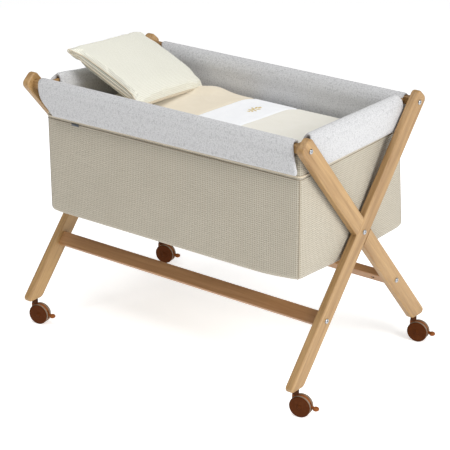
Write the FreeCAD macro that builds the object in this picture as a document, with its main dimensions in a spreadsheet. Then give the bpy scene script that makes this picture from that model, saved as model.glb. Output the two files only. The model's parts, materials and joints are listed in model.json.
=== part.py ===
"""Bassinet on a crossed-leg wooden stand with four braked twin-wheel casters.

Millimetres. +X runs along the bed, +Y to its rear, +Z up. The origin is on the floor, midway
between the four caster stems.
"""
import FreeCAD, Part
import math
import os
import re

from FreeCAD import Placement, Rotation, Vector

DIMENSIONS = {
    # crossed legs
    "half_length": 439,
    "leg_width": 47,
    "leg_thickness": 20,
    "leg_lean": 40.45,
    "crossing_height": 389,
    "leg_top_reach": 381,
    "leg_foot_reach": 460,
    "foot_height": 68,
    "leg_edge_round": 4,
    "leg_top_round": 14,
    "foot_toe_round": 10,
    "foot_heel_round": 18,
    # rails between the two pairs of legs
    "top_bolt_reach": 355.3,
    "lower_bolt_reach": 237.3,
    "top_rail_depth": 18,
    "top_rail_height": 21,
    "lower_rail_depth": 20,
    "lower_rail_height": 36,
    "rail_edge_round": 3,
    "end_bar_radius": 6,
    "end_bar_place": 394,
    "end_bar_socket": 5,
    # fasteners
    "bolt_radius": 3,
    "bolt_length": 70,
    "bolt_hole_radius": 3.3,
    "head_radius": 6.25,
    "head_height": 3.4,
    "head_round": 2.2,
    "key_radius": 2.31,
    "key_depth": 2,
    "nut_radius": 5,
    "nut_length": 16,
    "nut_setback": 45,
    "sleeve_radius": 4.5,
    "sleeve_length": 12,
    "sleeve_hole_radius": 4.6,
    "crossing_bolt_length": 14,
    "sleeve_head_height": 2.4,
    "dowel_radius": 3,
    "dowel_length": 30,
    "dowel_in_leg": 10,
    "top_dowel_offset": 6.9,
    "lower_dowel_offset": 11,
    # caster stems and their sockets
    "stem_spread": 262,
    "stem_radius": 3,
    "stem_bottom": 47,
    "stem_top": 96,
    "socket_radius": 5.5,
    "socket_top": 98,
    "flange_radius": 8,
    "flange_height": 1.5,
    # casters
    "caster_heading": 12,
    "caster_trail": 14.5,
    "wheel_radius": 27.5,
    "tread_depth": 4,
    "tread_width": 5.4,
    "tread_round": 0.9,
    "cover_radius": 26.7,
    "cover_width": 2.7,
    "cover_round": 1.9,
    "wheel_gap": 0.4,
    "axle_radius": 2.5,
    "axle_reach": 11,
    "running_clearance": 0.05,
    "web_radius": 26.5,
    "web_width": 8.4,
    "web_bottom": 4,
    "column_front": 8,
    "column_rear": 7,
    "neck_radius": 8,
    "neck_bottom": 55.3,
    "neck_top": 65.5,
    # brake levers, placed from the wheel centre
    "slot_width": 4.6,
    "slot_start": 6,
    "slot_below": 12,
    "slot_above": 12,
    "lever_width": 4,
    "lever_height": 6.4,
    "lever_end": 33,
    "pivot_place": 16,
    "pivot_above": 0,
    "hub_radius": 4,
    "trunnion_radius": 2,
    "trunnion_length": 8,
    "pedal_place": 38.3,
    "pedal_above": -1.5,
    "pedal_half_length": 8,
    "pedal_half_width": 8,
    "pedal_half_height": 5.6,
    # basket
    "panel_half_length": 399,
    "basket_shift": 5,
    "panel_half_depth": 230,
    "panel_thickness": 4,
    "panel_bottom": 317,
    "panel_top": 647,
    "floor_thickness": 12,
    "board_thickness": 8,
    "board_inset": 6,
    # padded rim over the rails and end bars
    "rim_top": 684,
    "flap_bottom": 590,
    "bumper_bottom": 559,
    "rim_fit": 0.5,
    "flap_thickness": 9,
    "bumper_thickness": 16,
    "end_flap_outer": 414,
    "left_rim_press": 14,
    "end_rim_half_depth": 203,
    "side_rim_half_length": 399,
    "side_rim_shift": 3,
    # bedding
    "mattress_thickness": 118,
    "mattress_inset": 10,
    "mattress_round": 14,
    "bedding_gap": 0.5,
    "duvet_top": 580,
    "duvet_edge_gap": 4,
    "duvet_round": 26,
    # pillow
    "pillow_length": 266,
    "pillow_width": 322,
    "pillow_thickness": 30,
    "pillow_round": 14,
    "pillow_place": -287,
    "pillow_sideways": 17,
    "pillow_height": 667.5,
    "pillow_pitch": 25.5,
    "pillow_turn": 4,
    "pillow_roll": -5.5,
}

doc = FreeCAD.newDocument("BassinetOnStand")
sheet = doc.addObject("Spreadsheet::Sheet", "Dimensions")
for row, (alias, number) in enumerate(DIMENSIONS.items(), start=1):
    sheet.set(f"A{row}", alias)
    sheet.set(f"B{row}", str(number))
    sheet.setAlias(f"B{row}", alias)
doc.recompute()

parts = []


def dim(alias):
    """Value of one cell of the sheet."""
    return float(sheet.get(alias))


def bind(item, **expressions):
    """Bind properties to expressions written with the sheet's aliases."""
    for name, expression in expressions.items():
        item.setExpression(name, re.sub(r"\b([a-z]+_[a-z_]+)\b", r"Dimensions.\1", expression))
    return item


def keep(item, label):
    """Give a finished sub-part the name of its node."""
    item.Label = label
    parts.append(item)
    return item


def box(name, length, width, height, corner, rotation=Rotation()):
    """Block bound to three expressions, with one corner at a point of the rotated frame."""
    item = doc.addObject("Part::Box", name)
    bind(item, Length=length, Width=width, Height=height)
    item.Placement = Placement(rotation.multVec(Vector(*corner)), rotation)
    return item


def cylinder(name, radius, height, base, direction=(0, 0, 1)):
    """Cylinder bound to two expressions, from a base point along a direction."""
    item = doc.addObject("Part::Cylinder", name)
    bind(item, Radius=radius, Height=height)
    item.Placement = Placement(Vector(*base), Rotation(Vector(0, 0, 1), Vector(*direction)))
    return item


def cut(name, base, *tools):
    """Base with every tool taken out of it."""
    tool = tools[0]
    if len(tools) > 1:
        tool = doc.addObject("Part::Compound", name + "_tools")
        tool.Links = list(tools)
    item = doc.addObject("Part::Cut", name)
    item.Base = base
    item.Tool = tool
    doc.recompute()
    if item.Shape.Volume >= base.Shape.Volume - 1e-6:
        raise RuntimeError(f"{name} takes nothing away")
    return item


def fuse(name, *pieces):
    """Union of several pieces."""
    item = doc.addObject("Part::MultiFuse", name)
    item.Shapes = list(pieces)
    item.Refine = True
    doc.recompute()
    return item


def fillet(name, base, radius_of):
    """Round each edge for which radius_of(edge) gives a radius."""
    doc.recompute()
    rounded = []
    for index, edge in enumerate(base.Shape.Edges, start=1):
        radius = radius_of(edge)
        if radius:
            rounded.append((index, radius, radius))
    item = doc.addObject("Part::Fillet", name)
    item.Base = base
    item.Edges = rounded
    doc.recompute()
    return item


def runs_along(edge, direction):
    """True for a straight edge that is parallel to a direction."""
    if edge.Curve.TypeId != "Part::GeomLine":
        return False
    start, end = edge.Vertexes[0].Point, edge.Vertexes[-1].Point
    return (end - start).cross(Vector(*direction)).Length < 1e-6 * (end - start).Length


def group(label, pattern, placements):
    """One node that holds a copy of a pattern at each placement."""
    copies = []
    for placement in placements:
        copy = pattern.Shape.copy()
        copy.Placement = placement.multiply(pattern.Shape.Placement)
        copies.append(copy)
    item = doc.addObject("Part::Feature", label)
    item.Shape = Part.makeCompound(copies)
    return keep(item, label)


LEAN = math.radians(dim("leg_lean"))
ENDS = {"right": 1, "left": -1}
SIDES = {"front": -1, "rear": 1}
INNER_X = dim("half_length") - dim("leg_thickness")
STEM_X = dim("half_length") - dim("leg_thickness") / 2
OUTWARD = {1: Rotation(Vector(0, 0, 1), Vector(1, 0, 0)), -1: Rotation(Vector(0, 0, 1), Vector(-1, 0, 0))}


def on_leg(reach, top_side):
    """Y and Z on the centre line of the leg whose top is on top_side, reach above the crossing."""
    return top_side * reach * math.sin(LEAN), dim("crossing_height") + reach * math.cos(LEAN)


def leg_rotation(top_side):
    """Frame with X outward to the right, Z up along the leg."""
    return Rotation(Vector(1, 0, 0), -top_side * dim("leg_lean"))


def place_x(end, inner, depth):
    """Lowest X of a slice of the leg, inner mm from its inner face and depth mm thick."""
    return inner + INNER_X if end > 0 else -(INNER_X + inner + depth)


def leg_strip(name, end, top_side, inner, thickness, depth):
    """Straight bar along one leg; inner and depth place its slice through the thickness."""
    rotation = leg_rotation(top_side)
    bar = doc.addObject("Part::Box", name)
    bind(bar, Length=thickness, Width="leg_width", Height="leg_top_reach + leg_foot_reach")
    corner = Vector(0, -dim("leg_width") / 2, -dim("leg_foot_reach"))
    base = Vector(place_x(end, inner, depth), 0, dim("crossing_height"))
    bar.Placement = Placement(base + rotation.multVec(corner), rotation)
    return bar


def leg_corner_radius(edge):
    """Radius of a corner of the leg's outline: two at the top, a toe and a heel at the foot."""
    if not runs_along(edge, (1, 0, 0)):
        return 0
    point = edge.Vertexes[0].Point
    if point.z > dim("crossing_height"):
        return dim("leg_top_round")
    if abs(point.y) > dim("stem_spread"):
        return dim("foot_toe_round")
    return dim("foot_heel_round")


def make_leg(label, end, top_side, lap_inner):
    """Leg with a half lap at the crossing, bolt and dowel holes and a hole for its caster socket."""
    thickness = dim("leg_thickness")
    bar = leg_strip(label + "_bar", end, top_side, 0, "leg_thickness", thickness)
    floor_block = box(label + "_below_foot", "4 * half_length", "4 * half_length", "leg_foot_reach",
                      (-2 * dim("half_length"), -2 * dim("half_length"),
                       dim("foot_height") - dim("leg_foot_reach")))
    outline = fillet(label + "_outline", cut(label + "_trimmed", bar, floor_block), leg_corner_radius)

    def face_edge_radius(edge):
        middle = edge.valueAt((edge.FirstParameter + edge.LastParameter) / 2)
        on_face = min(abs(abs(middle.x) - INNER_X), abs(abs(middle.x) - dim("half_length"))) < 1e-6
        return dim("leg_edge_round") if on_face and not runs_along(edge, (1, 0, 0)) else 0

    rounded = fillet(label + "_rounded", outline, face_edge_radius)
    lap = leg_strip(label + "_lap", end, -top_side, 0 if lap_inner else thickness / 2,
                    "leg_thickness / 2", thickness / 2)
    lapped = cut(label + "_lapped", rounded, lap)

    holes = []
    axis = (end, 0, 0)
    for number, (reach, radius) in enumerate(((dim("top_bolt_reach"), "bolt_hole_radius"),
                                              (0, "sleeve_hole_radius"),
                                              (-dim("lower_bolt_reach"), "bolt_hole_radius"))):
        y, z = on_leg(reach, top_side)
        holes.append(cylinder(f"{label}_bolt_hole_{number}", radius, "leg_thickness + 2",
                              (end * (INNER_X - 1), y, z), axis))
    for number, (y, z) in enumerate(dowel_places(top_side)):
        holes.append(cylinder(f"{label}_dowel_hole_{number}", "dowel_radius", "dowel_in_leg + 1",
                              (end * (INNER_X - 1), y, z), axis))
    holes.append(cylinder(label + "_socket_hole", "socket_radius", "socket_top - foot_height + 1",
                          (end * STEM_X, -top_side * dim("stem_spread"), dim("foot_height") - 1)))
    return keep(cut(label + "_drilled", lapped, *holes), label)


def dowel_places(top_side):
    """Dowels of one leg: one under the top bolt, one either side of the lower bolt."""
    y, z = on_leg(dim("top_bolt_reach"), top_side)
    places = [(y, z - dim("top_dowel_offset"))]
    for way in (-1, 1):
        places.append(on_leg(-dim("lower_bolt_reach") + way * dim("lower_dowel_offset"), top_side))
    return places


def make_rail(label, depth, height, rotation, centre, cross_axis, dowels, extra=()):
    """Rail between the legs, with bolt, barrel nut and dowel holes in both ends."""
    bar = doc.addObject("Part::Box", label + "_bar")
    bind(bar, Length="2 * half_length - 2 * leg_thickness", Width=depth, Height=height)
    corner = Vector(-INNER_X, -dim(depth) / 2, -dim(height) / 2)
    bar.Placement = Placement(Vector(*centre) + rotation.multVec(corner), rotation)
    rounded = fillet(label + "_rounded", bar,
                     lambda edge: dim("rail_edge_round") if runs_along(edge, (1, 0, 0)) else 0)
    holes = list(extra)
    half = 0.5 * (dim("nut_length"))
    cross = rotation.multVec(Vector(*cross_axis))
    for name, end in ENDS.items():
        inward = (-end, 0, 0)
        face = end * (INNER_X + 1)
        holes.append(cylinder(f"{label}_bolt_hole_{name}", "bolt_hole_radius",
                              "bolt_length - leg_thickness + 3", (face, centre[1], centre[2]), inward))
        start = Vector(end * (INNER_X - dim("nut_setback")), centre[1], centre[2]) - cross * half
        holes.append(cylinder(f"{label}_nut_hole_{name}", "nut_radius", "nut_length + 10", start, cross))
        for number, (y, z) in enumerate(dowels):
            holes.append(cylinder(f"{label}_dowel_hole_{name}_{number}", "dowel_radius",
                                  "dowel_length - dowel_in_leg + 1", (face, y, z), inward))
    drilled = rounded
    for number, hole in enumerate(holes):
        drilled = cut(f"{label}_drilled_{number}", drilled, hole)
    return keep(drilled, label)


def make_stand():
    """Four legs, four rails, the two end bars and everything that fastens them."""
    for name, end in ENDS.items():
        make_leg(f"leg_front_top_{name}", end, SIDES["front"], lap_inner=False)
        make_leg(f"leg_rear_top_{name}", end, SIDES["rear"], lap_inner=True)

    bar_reach = on_leg(dim("top_bolt_reach"), 1)[0] - dim("top_rail_depth") / 2 + dim("end_bar_socket")
    bar_height = on_leg(dim("top_bolt_reach"), 1)[1]
    for name, side in SIDES.items():
        y, z = on_leg(dim("top_bolt_reach"), side)
        sockets = [cylinder(f"top_rail_{name}_bar_hole_{end}", "end_bar_radius", "end_bar_socket + 1",
                            (end * dim("end_bar_place"), side * (bar_reach - dim("end_bar_socket") - 1), z),
                            (0, side, 0)) for end in ENDS.values()]
        make_rail(f"top_rail_{name}", "top_rail_depth", "top_rail_height", Rotation(), (0, y, z),
                  (0, 0, -1), dowel_places(side)[:1], sockets)
        low_y, low_z = on_leg(-dim("lower_bolt_reach"), -side)
        make_rail(f"lower_rail_{name}", "lower_rail_depth", "lower_rail_height", leg_rotation(-side),
                  (0, low_y, low_z), (0, -side, 0), dowel_places(-side)[1:])

    rod = cylinder("end_bar", "end_bar_radius", f"{2 * bar_reach}", (0, -bar_reach, bar_height), (0, 1, 0))
    doc.recompute()
    group("end_bars", rod, [Placement(Vector(end * dim("end_bar_place"), 0, 0), Rotation())
                            for end in ENDS.values()])
    make_fasteners()


def bolt(name, length):
    """Button-head bolt along Z with its head above Z = 0 and a hexagon key socket."""
    head = cylinder(name + "_head", "head_radius", "head_height", (0, 0, 0))
    shank = cylinder(name + "_shank", "bolt_radius", length, (0, 0, -dim(length)))
    blank = fuse(name + "_blank", head, shank)
    domed = fillet(name + "_domed", blank,
                   lambda edge: dim("head_round") if edge.BoundBox.ZMin > dim("head_height") - 1e-3 else 0)
    key = doc.addObject("Part::Prism", name + "_key")
    key.Polygon = 6
    bind(key, Circumradius="key_radius", Height="key_depth + 1")
    key.Placement.Base = Vector(0, 0, dim("head_height") - dim("key_depth"))
    return cut(name, domed, key)


def make_fasteners():
    """Bolts, barrel nuts, crossing bolts with sleeve nuts, and dowels."""
    rail_places = []
    nut_places = []
    dowel_spots = []
    crossing_places = []
    sleeve_places = []
    for end in ENDS.values():
        outward = OUTWARD[end]
        crossing_places.append(Placement(Vector(end * dim("half_length"), 0, dim("crossing_height")), outward))
        sleeve_places.append(Placement(Vector(end * INNER_X, 0, dim("crossing_height")), OUTWARD[-end]))
        for side in SIDES.values():
            for reach in (dim("top_bolt_reach"), -dim("lower_bolt_reach")):
                y, z = on_leg(reach, side)
                rail_places.append(Placement(Vector(end * dim("half_length"), y, z), outward))
                cross = Rotation() if reach > 0 else leg_rotation(side).multiply(
                    Rotation(Vector(0, 0, 1), Vector(0, side, 0)))
                nut_places.append(Placement(Vector(end * (INNER_X - dim("nut_setback")), y, z), cross))
            for y, z in dowel_places(side):
                dowel_spots.append(Placement(Vector(end * (INNER_X + dim("dowel_in_leg")), y, z), OUTWARD[-end]))

    group("rail_bolts", bolt("rail_bolt", "bolt_length"), rail_places)
    group("crossing_bolts", bolt("crossing_bolt", "crossing_bolt_length"), crossing_places)

    barrel = cylinder("barrel", "nut_radius", "nut_length", (0, 0, -dim("nut_length") / 2))
    thread = cylinder("barrel_thread", "bolt_radius", "4 * nut_radius", (-2 * dim("nut_radius"), 0, 0), (1, 0, 0))
    group("barrel_nuts", cut("barrel_nut", barrel, thread), nut_places)

    flange = cylinder("sleeve_flange", "head_radius", "sleeve_head_height", (0, 0, 0))
    sleeve = cylinder("sleeve", "sleeve_radius", "sleeve_length", (0, 0, -dim("sleeve_length")))
    bore = cylinder("sleeve_bore", "bolt_radius", "sleeve_length", (0, 0, -dim("sleeve_length") - 1))
    group("crossing_nuts", cut("crossing_nut", fuse("sleeve_blank", flange, sleeve), bore), sleeve_places)

    dowel = cylinder("dowel", "dowel_radius", "dowel_length", (0, 0, 0))
    doc.recompute()
    group("rail_dowels", dowel, dowel_spots)


def caster_places():
    """Name and frame of each caster: Z is its stem, X points from the stem to the wheels."""
    heading = Rotation(Vector(0, 0, 1), dim("caster_heading"))
    for side_name, side in SIDES.items():
        for end_name, end in ENDS.items():
            base = Vector(end * STEM_X, side * dim("stem_spread"), 0)
            yield f"{side_name}_{end_name}", Placement(base, heading)


def make_stems():
    """Sockets pressed into the legs, and the steel stems pressed into them."""
    flange = cylinder("socket_flange", "flange_radius", "flange_height",
                      (0, 0, dim("foot_height") - dim("flange_height")))
    tube = cylinder("socket_tube", "socket_radius", "socket_top - foot_height", (0, 0, dim("foot_height")))
    bore = cylinder("socket_bore", "stem_radius", "stem_top - foot_height + flange_height + 1",
                    (0, 0, dim("foot_height") - dim("flange_height") - 1))
    socket = cut("stem_socket", fuse("socket_blank", flange, tube), bore)
    stem = cylinder("stem", "stem_radius", "stem_top - stem_bottom", (0, 0, dim("stem_bottom")))
    doc.recompute()
    places = [Placement(place.Base, Rotation()) for _, place in caster_places()]
    group("stem_sockets", socket, places)
    group("caster_stems", stem, places)


def across(name, radius, length, x, z):
    """Cylinder bound to two expressions, centred on the caster's middle plane, along its Y."""
    item = doc.addObject("Part::Cylinder", name)
    bind(item, Radius=radius, Height=length)
    doc.recompute()
    item.Placement = Placement(Vector(x, item.Height.Value / 2, z), Rotation(Vector(1, 0, 0), 90))
    return item


def make_hood(label):
    """Web between the wheels with a neck for the stem and a slot for the brake lever."""
    trail, axle_z = dim("caster_trail"), dim("wheel_radius")
    half = dim("web_width") / 2
    disc = across(label + "_disc", "web_radius", "web_width", trail, axle_z)
    below = box(label + "_below", "4 * web_radius", "4 * web_radius", "2 * web_radius",
                (trail - 2 * dim("web_radius"), -2 * dim("web_radius"), dim("web_bottom") - 2 * dim("web_radius")))
    column = box(label + "_column", "column_front + column_rear", "web_width", "neck_bottom - wheel_radius",
                 (-dim("column_front"), -half, axle_z))
    collar = cylinder(label + "_collar", "neck_radius", "neck_top - neck_bottom", (0, 0, dim("neck_bottom")))
    blank = fuse(label + "_blank", cut(label + "_web", disc, below), column, collar)
    stem_bore = cylinder(label + "_stem_bore", "stem_radius + running_clearance", "neck_top - stem_bottom + 2",
                         (0, 0, dim("stem_bottom") - 1))
    axle_hole = across(label + "_axle_hole", "axle_radius", "2 * web_width", trail, axle_z)
    slot = box(label + "_slot", "web_radius", "slot_width", "slot_below + slot_above",
               (trail + dim("slot_start"), -dim("slot_width") / 2, axle_z - dim("slot_below")))
    pivot_bore = across(label + "_pivot_bore", "trunnion_radius + running_clearance", "2 * web_width",
                        trail + dim("pivot_place"), axle_z + dim("pivot_above"))
    bored = cut(label + "_bored", blank, stem_bore, axle_hole)
    slotted = cut(label + "_slotted", bored, slot)
    return cut(label, slotted, pivot_bore)


def make_lever(label):
    """Brake lever: arm, hub with trunnions, and a rounded pedal behind the wheels."""
    trail, axle_z = dim("caster_trail"), dim("wheel_radius")
    pivot_x, pivot_z = trail + dim("pivot_place"), axle_z + dim("pivot_above")
    arm = box(label + "_arm", "lever_end - pivot_place", "lever_width", "lever_height",
              (pivot_x, -dim("lever_width") / 2, pivot_z - dim("lever_height") / 2))
    hub = across(label + "_hub", "hub_radius", "lever_width", pivot_x, pivot_z)
    trunnion = across(label + "_trunnion", "trunnion_radius", "trunnion_length", pivot_x, pivot_z)
    pedal = doc.addObject("Part::Ellipsoid", label + "_pedal")
    bind(pedal, Radius1="pedal_half_height", Radius2="pedal_half_length", Radius3="pedal_half_width")
    pedal.Placement.Base = Vector(trail + dim("pedal_place"), 0, axle_z + dim("pedal_above"))
    return fuse(label, arm, hub, trunnion, pedal)


def revolved(label, points, round_corner):
    """Body turned about its Y axis from an outline in X (radius) and Y (along the axle).

    The outline's corner number round_corner is replaced by an arc of the given radius.
    """
    index, radius = round_corner
    before, corner, after = points[index - 1], points[index], points[index + 1]
    start = corner + (before - corner).normalize() * radius
    end = corner + (after - corner).normalize() * radius
    centre = start + end - corner
    middle = centre + (corner - centre).normalize() * radius
    body = doc.addObject("PartDesign::Body", label)
    sketch = body.newObject("Sketcher::SketchObject", label + "_outline")
    plane = next(item for item in body.Origin.OriginFeatures if item.Role == "XY_Plane")
    sketch.AttachmentSupport = [(plane, "")]
    sketch.MapMode = "FlatFace"
    chain = points[:index] + [start]
    for first, second in zip(chain, chain[1:]):
        sketch.addGeometry(Part.LineSegment(first, second), False)
    sketch.addGeometry(Part.Arc(start, middle, end), False)
    chain = [end] + points[index + 1:] + [points[0]]
    for first, second in zip(chain, chain[1:]):
        sketch.addGeometry(Part.LineSegment(first, second), False)
    turned = body.newObject("PartDesign::Revolution", label + "_turned")
    turned.Profile = sketch
    turned.ReferenceAxis = (sketch, ["V_Axis"])
    turned.Angle = 360
    doc.recompute()
    return body


def wheel_core(label):
    """Wheel hub with its full-size outer cover and a blind bore for the axle."""
    bore = dim("axle_radius") + dim("running_clearance")
    seat = dim("wheel_radius") - dim("tread_depth")
    width, cover = dim("tread_width"), dim("cover_width")
    depth = dim("axle_reach") - dim("web_width") / 2 - dim("wheel_gap") + dim("running_clearance")
    outline = [Vector(bore, 0, 0), Vector(seat, 0, 0), Vector(seat, width, 0),
               Vector(dim("cover_radius"), width, 0), Vector(dim("cover_radius"), width + cover, 0),
               Vector(0, width + cover, 0), Vector(0, depth, 0), Vector(bore, depth, 0)]
    return revolved(label, outline, (4, dim("cover_round")))


def wheel_tread(label):
    """Soft ring on the hub, inboard of the cover."""
    seat = dim("wheel_radius") - dim("tread_depth")
    outline = [Vector(seat, 0, 0), Vector(dim("wheel_radius"), 0, 0),
               Vector(dim("wheel_radius"), dim("tread_width"), 0), Vector(seat, dim("tread_width"), 0)]
    return revolved(label, outline, (1, dim("tread_round")))


def make_casters():
    """Hood, axle, brake lever and two independent wheels at each stem."""
    trail, axle_z = dim("caster_trail"), dim("wheel_radius")
    inboard = dim("web_width") / 2 + dim("wheel_gap")
    for name, place in caster_places():
        hood = make_hood(f"caster_hood_{name}")
        axle = across(f"caster_axle_{name}", "axle_radius", "2 * axle_reach", trail, axle_z)
        lever = make_lever(f"brake_lever_{name}")
        doc.recompute()
        for item in (hood, axle, lever):
            item.Placement = place.multiply(item.Placement)
            keep(item, item.Name)
        for hand, turn in (("left", 0), ("right", 180)):
            way = 1 if hand == "left" else -1
            seat = place.multiply(Placement(Vector(trail, way * inboard, axle_z),
                                            Rotation(Vector(0, 0, 1), turn)))
            for kind, maker in (("wheel", wheel_core), ("tread", wheel_tread)):
                body = maker(f"{kind}_{hand}_{name}")
                body.Placement = seat
                keep(body, f"{kind}_{hand}_{name}")


def make_basket():
    """Four sewn panels that hang from the rails, the padded floor, and the board that lies on it."""
    long, deep, thick = dim("panel_half_length"), dim("panel_half_depth"), dim("panel_thickness")
    bottom, shift = dim("panel_bottom"), dim("basket_shift")
    for name, side in SIDES.items():
        y = deep - thick if side > 0 else -deep
        keep(box(f"basket_panel_{name}", "2 * panel_half_length", "panel_thickness",
                 "panel_top - panel_bottom", (shift - long, y, bottom)), f"basket_panel_{name}")
    for name, end in ENDS.items():
        x = shift + (long - thick if end > 0 else -long)
        keep(box(f"basket_panel_{name}", "panel_thickness", "2 * panel_half_depth - 2 * panel_thickness",
                 "panel_top - panel_bottom", (x, thick - deep, bottom)), f"basket_panel_{name}")
    keep(box("basket_floor", "2 * panel_half_length - 2 * panel_thickness",
             "2 * panel_half_depth - 2 * panel_thickness", "floor_thickness",
             (shift + thick - long, thick - deep, bottom)), "basket_floor")
    inset = thick + dim("board_inset")
    keep(box("base_board", "2 * (panel_half_length - panel_thickness - board_inset)",
             "2 * (panel_half_depth - panel_thickness - board_inset)", "board_thickness",
             (shift + inset - long, inset - deep, bottom + dim("floor_thickness"))), "base_board")


def make_side_rim(name, side):
    """Padded roll over a top rail: a flap outside, a roll on top and a bumper inside."""
    rail_y, rail_z = on_leg(dim("top_bolt_reach"), 1)
    fit = dim("rim_fit")
    inner = rail_y - dim("top_rail_depth") / 2 - fit
    outer = rail_y + dim("top_rail_depth") / 2 + fit
    under = rail_z + dim("top_rail_height") / 2 + fit
    low = dim("bumper_bottom")
    half = dim("side_rim_half_length")
    start = side * dim("side_rim_shift") - half
    inside_half = dim("end_bar_place") - dim("end_bar_radius") - fit - dim("bumper_thickness") - 1
    facing = Rotation() if side > 0 else Rotation(Vector(0, 0, 1), 180)
    flap = box(f"flap_{name}", "2 * side_rim_half_length", "flap_thickness", "rim_top - flap_bottom",
               (start, outer, dim("flap_bottom")), facing)
    roll = box(f"roll_{name}", "2 * side_rim_half_length", f"{outer - inner + 1}", f"rim_top - {under}",
               (start, inner - 0.5, under), facing)
    bumper = box(f"bumper_{name}", f"{2 * inside_half}", "bumper_thickness", f"rim_top - {low}",
                 (-inside_half, inner - dim("bumper_thickness"), low), facing)
    keep(fuse(f"padded_rim_{name}", flap, roll, bumper), f"padded_rim_{name}")


def make_end_rim(name, end):
    """Padded roll over an end bar, open at both corners; the left one is pressed down by the pillow."""
    fit = dim("rim_fit")
    top = "rim_top" if end > 0 else "(rim_top - left_rim_press)"
    bar_z = on_leg(dim("top_bolt_reach"), 1)[1]
    inner = dim("end_bar_place") - dim("end_bar_radius") - fit
    panel_face = dim("panel_half_length") + end * dim("basket_shift")
    outer = max(panel_face, dim("end_bar_place") + dim("end_bar_radius")) + fit
    under = bar_z + dim("end_bar_radius") + fit
    half = dim("end_rim_half_depth")
    facing = Rotation() if end > 0 else Rotation(Vector(0, 0, 1), 180)
    flap = box(f"flap_{name}", f"end_flap_outer - {outer}", "2 * end_rim_half_depth", f"{top} - flap_bottom",
               (outer, -half, dim("flap_bottom")), facing)
    roll = box(f"roll_{name}", f"{outer - inner + 1}", "2 * end_rim_half_depth", f"{top} - {under}",
               (inner - 0.5, -half, under), facing)
    bumper = box(f"bumper_{name}", "bumper_thickness", "2 * end_rim_half_depth", f"{top} - bumper_bottom",
                 (inner - dim("bumper_thickness"), -half, dim("bumper_bottom")), facing)
    keep(fuse(f"padded_rim_{name}", flap, roll, bumper), f"padded_rim_{name}")


def rounded_block(label, sizes, corner, radius, placement=None):
    """Soft solid: a block with all its edges rounded."""
    block = box(label + "_block", *sizes, corner)
    soft = fillet(label, block, lambda edge: dim(radius))
    if placement:
        soft.Placement = placement
    return keep(soft, label)


def make_bedding():
    """Mattress on the board, duvet on the mattress, and the pillow leaning on the left rim."""
    board_top = dim("panel_bottom") + dim("floor_thickness") + dim("board_thickness")
    bottom = board_top + dim("bedding_gap")
    half_x = dim("panel_half_length") - dim("panel_thickness") - dim("mattress_inset")
    half_y = dim("panel_half_depth") - dim("panel_thickness") - dim("mattress_inset")
    rounded_block("mattress", (f"{2 * half_x}", f"{2 * half_y}", "mattress_thickness"),
                  (dim("basket_shift") - half_x, -half_y, bottom), "mattress_round")
    duvet_bottom = bottom + dim("mattress_thickness") + dim("bedding_gap")
    half_x = dim("end_bar_place") - dim("end_bar_radius") - dim("bumper_thickness") - dim("duvet_edge_gap")
    half_y = (on_leg(dim("top_bolt_reach"), 1)[0] - dim("top_rail_depth") / 2
              - dim("bumper_thickness") - dim("duvet_edge_gap"))
    rounded_block("duvet", (f"{2 * half_x}", f"{2 * half_y}", f"duvet_top - {duvet_bottom}"),
                  (-half_x, -half_y, duvet_bottom), "duvet_round")
    centre = Vector(dim("pillow_place"), dim("pillow_sideways"), dim("pillow_height"))
    tilt = (Rotation(Vector(0, 0, 1), dim("pillow_turn"))
            .multiply(Rotation(Vector(0, 1, 0), dim("pillow_pitch")))
            .multiply(Rotation(Vector(1, 0, 0), dim("pillow_roll"))))
    rounded_block("pillow", ("pillow_length", "pillow_width", "pillow_thickness"),
                  (-dim("pillow_length") / 2, -dim("pillow_width") / 2, -dim("pillow_thickness") / 2),
                  "pillow_round", Placement(centre, tilt))


make_stand()
make_stems()
make_casters()
make_basket()
for rim_name, rim_side in SIDES.items():
    make_side_rim(rim_name, rim_side)
for rim_name, rim_end in ENDS.items():
    make_end_rim(rim_name, rim_end)
make_bedding()
doc.recompute()

for item in doc.Objects:
    if "Invalid" in item.State or "Error" in item.State:
        raise RuntimeError(f"{item.Label} did not recompute: {item.State}")
os.makedirs("parts", exist_ok=True)
for item in parts:
    if item.Shape.isNull() or not item.Shape.isValid() or not item.Shape.Solids:
        raise RuntimeError(f"{item.Label} has no valid solid")
    item.Shape.exportStep(f"parts/{item.Label}.step")
print(len(parts), "parts")
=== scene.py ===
"""Looks of the bassinet on its crossed-leg stand: fabrics, bedding, finishes, light and camera.

Metres, in the frame of the CAD model: +X along the bed, +Y to its rear, +Z up.
"""
import json
import math

import bmesh
import bpy
from mathutils import Euler, Matrix, Vector, noise
from mathutils.bvhtree import BVHTree


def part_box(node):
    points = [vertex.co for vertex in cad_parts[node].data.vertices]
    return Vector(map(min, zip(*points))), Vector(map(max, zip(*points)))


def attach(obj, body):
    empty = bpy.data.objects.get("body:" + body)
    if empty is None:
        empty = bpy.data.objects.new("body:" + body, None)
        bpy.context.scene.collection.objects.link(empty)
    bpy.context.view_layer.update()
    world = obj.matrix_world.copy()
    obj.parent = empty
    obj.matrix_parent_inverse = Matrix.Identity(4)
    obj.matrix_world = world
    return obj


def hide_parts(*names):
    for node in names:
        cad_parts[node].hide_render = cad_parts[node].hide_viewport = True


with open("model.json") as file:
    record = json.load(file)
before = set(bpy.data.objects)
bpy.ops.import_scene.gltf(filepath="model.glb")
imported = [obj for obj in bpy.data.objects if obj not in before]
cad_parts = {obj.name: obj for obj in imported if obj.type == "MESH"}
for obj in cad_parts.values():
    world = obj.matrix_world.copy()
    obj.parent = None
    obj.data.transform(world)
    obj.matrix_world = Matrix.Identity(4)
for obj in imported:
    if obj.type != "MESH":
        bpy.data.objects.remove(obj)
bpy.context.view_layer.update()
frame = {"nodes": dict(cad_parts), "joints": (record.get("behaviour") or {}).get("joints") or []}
nodes = frame["nodes"]
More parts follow.
